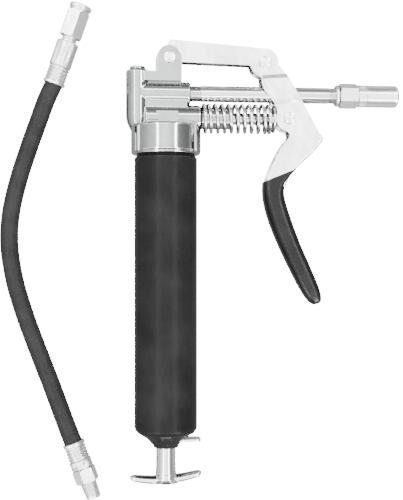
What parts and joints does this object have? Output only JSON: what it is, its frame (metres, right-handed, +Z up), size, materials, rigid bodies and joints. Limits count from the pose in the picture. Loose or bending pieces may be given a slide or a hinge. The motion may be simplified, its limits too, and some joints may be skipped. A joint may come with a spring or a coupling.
{
  "type": "grease gun",
  "caption": "Pistol-grip lever grease gun with cartridge barrel, toggle pump linkage, T-handle rod, jaw coupler and loose whip hose",
  "frame": {"origin": "centre of the gun's own bounding box in plan, on the surface it lies on; the loose hose lies beside it towards -X", "axes": "+Y along the barrel's axis towards the pump head, +Z up from the surface, +X towards the coupler and lever; the gun lies on its side, rolled 5.67 degrees about Y"},
  "size_m": [0.2523, 0.3156, 0.0424],
  "materials": {
    "cast_zinc": "satin die-cast zinc with soft fillets",
    "black_paint": "semi-gloss black enamel on steel tube",
    "chrome": "bright nickel-chrome plate",
    "plated_steel": "bright zinc or nickel plate on pressed and turned steel",
    "spring_steel": "bright plated spring wire",
    "black_rubber": "matt black rubber",
    "black_vinyl": "glossy dipped black vinyl"
  },
  "bodies": {
    "gun_body": {"head": "cast_zinc", "barrel": "black_paint", "barrel_gasket": "black_rubber", "valve_plug": "cast_zinc", "check_ball": "chrome", "check_spring": "spring_steel", "extension_pipe": "chrome", "coupler_collar": "plated_steel", "coupler_hex": "plated_steel", "coupler_spring": "spring_steel", "coupler_seal": "black_rubber", "coupler_jaw_1": "plated_steel", "coupler_jaw_2": "plated_steel", "coupler_jaw_3": "plated_steel", "coupler_jaw_4": "plated_steel", "head_pin": "plated_steel", "packing_ring": "black_rubber", "packing_nut": "plated_steel", "return_spring": "spring_steel", "follower_spring": "spring_steel", "latch_spring": "spring_steel"},
    "pump_plunger": {"plunger": "chrome", "spring_seat": "plated_steel"},
    "hand_lever": {"lever": "plated_steel", "lever_grip": "black_vinyl", "link_pin": "plated_steel", "plunger_pin": "plated_steel"},
    "top_link": {"link": "plated_steel"},
    "grease_follower": {"follower_cup": "black_rubber", "follower_plate": "plated_steel"},
    "pull_rod": {"follower_rod": "chrome", "follower_nut": "plated_steel", "t_handle": "chrome"},
    "rod_latch": {"latch_plate": "plated_steel"},
    "sleeve": {"coupler_sleeve": "plated_steel"},
    "hose_line": {"hose": "black_rubber", "hose_ferrule_top": "plated_steel", "hose_ferrule_low": "plated_steel", "hose_neck": "plated_steel", "hose_nut": "plated_steel", "hose_male_end": "plated_steel"}
  },
  "joints": [
    {"name": "plunger_slide", "type": "slide", "parent": "gun_body", "child": "pump_plunger", "axis": [-0.9951, 0, 0.0989], "range_m": [0, 0.015], "stiffness_N_per_m": 350, "springref_m": -0.008, "deforming": ["return_spring"]},
    {"name": "lever_turn", "type": "hinge", "parent": "pump_plunger", "child": "hand_lever", "pos_m": [0.01532, 0.0891, 0.01364], "axis": [0.0989, 0, 0.9951], "range_deg": [-23.5, 0]},
    {"name": "link_turn", "type": "hinge", "parent": "gun_body", "child": "top_link", "pos_m": [-0.05911, 0.1255, 0.02103], "axis": [0.0989, 0, 0.9951], "range_deg": [0, 3.25]},
    {"name": "follower_slide", "type": "slide", "parent": "gun_body", "child": "grease_follower", "axis": [0, -1, 0], "range_m": [0, 0.12], "deforming": ["follower_spring"]},
    {"name": "rod_turn", "type": "hinge", "parent": "grease_follower", "child": "pull_rod", "pos_m": [-0.0608, 0.0562, 0.0212], "axis": [0, 1, 0], "continuous": true},
    {"name": "latch_tilt", "type": "hinge", "parent": "gun_body", "child": "rod_latch", "pos_m": [-0.06936, -0.11, 0.02205], "axis": [0.0989, 0, 0.9951], "range_deg": [0, 3.5], "stiffness_Nm_per_rad": 0.4, "springref_deg": -8.59, "deforming": ["latch_spring"]},
    {"name": "sleeve_turn", "type": "hinge", "parent": "gun_body", "child": "sleeve", "pos_m": [0.05931, 0.1044, 0.00927], "axis": [0.9951, 0, -0.0989], "range_deg": [0, 180]},
    {"name": "hose_lift", "type": "slide", "parent": "gun_body", "child": "hose_line", "axis": [0, 0, 1], "range_m": [0, 0.05]}
  ],
  "couplings": [
    {"joint": "lever_turn", "follows": "plunger_slide", "rad_per_m": -27.292},
    {"joint": "link_turn", "follows": "plunger_slide", "rad_per_m": 3.7297}
  ]
}
